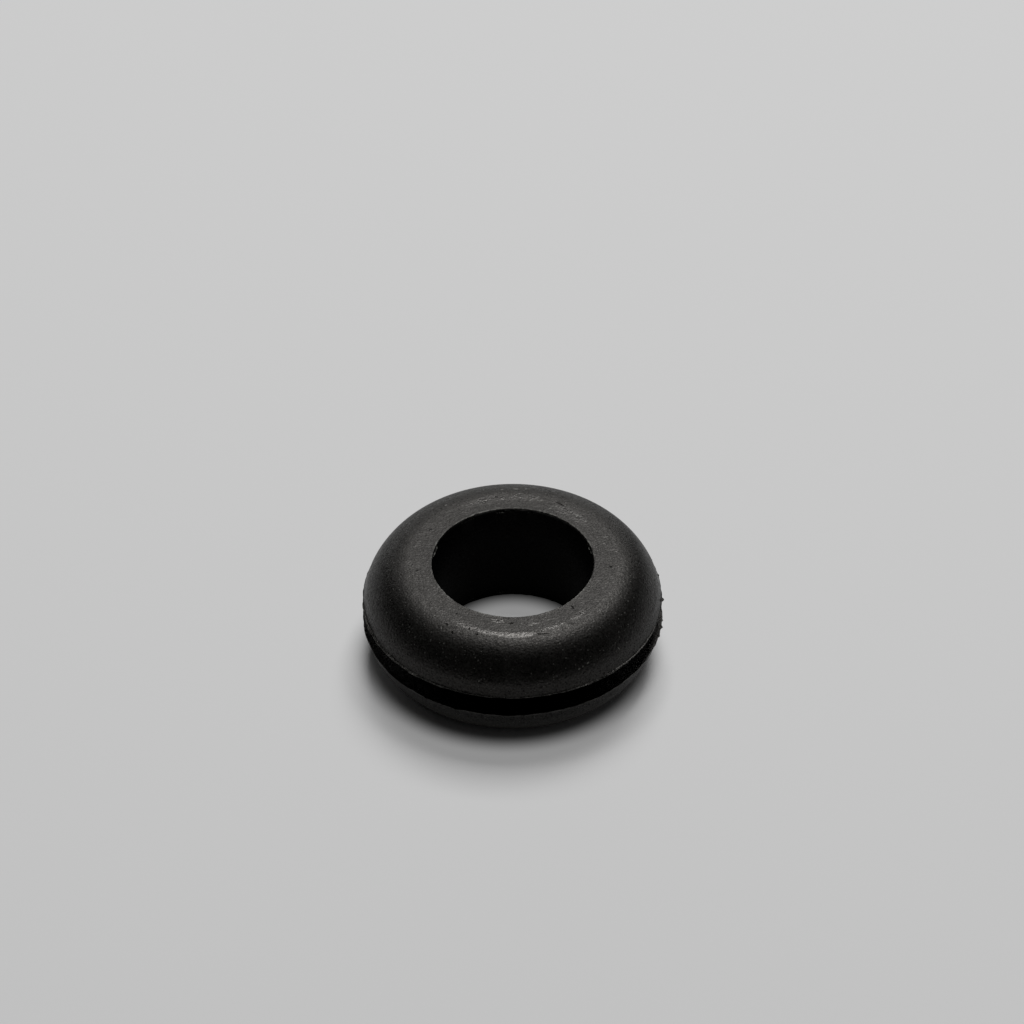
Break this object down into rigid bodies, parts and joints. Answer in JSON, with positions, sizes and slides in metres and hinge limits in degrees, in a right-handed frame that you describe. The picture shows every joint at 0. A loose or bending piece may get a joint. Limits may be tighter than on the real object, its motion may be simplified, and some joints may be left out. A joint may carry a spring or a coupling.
{
  "type": "rubber grommet",
  "caption": "Moulded black rubber grommet: domed flanges on each side of a panel groove, with a plain round bore for a cable.",
  "frame": {"origin": "on the axis of the bore at the middle of the groove, where the mid-plane of the panel lies", "axes": "+Z along the axis of the bore, out of the upper flange; X and Y lie in the plane of the panel"},
  "size_m": [0.0222, 0.0222, 0.0086],
  "materials": {
    "rubber": "satin black moulded rubber, with fine speckle and thin ragged flash at the edges of the groove"
  },
  "bodies": {
    "root": {"grommet": "rubber"}
  },
  "joints": []
}
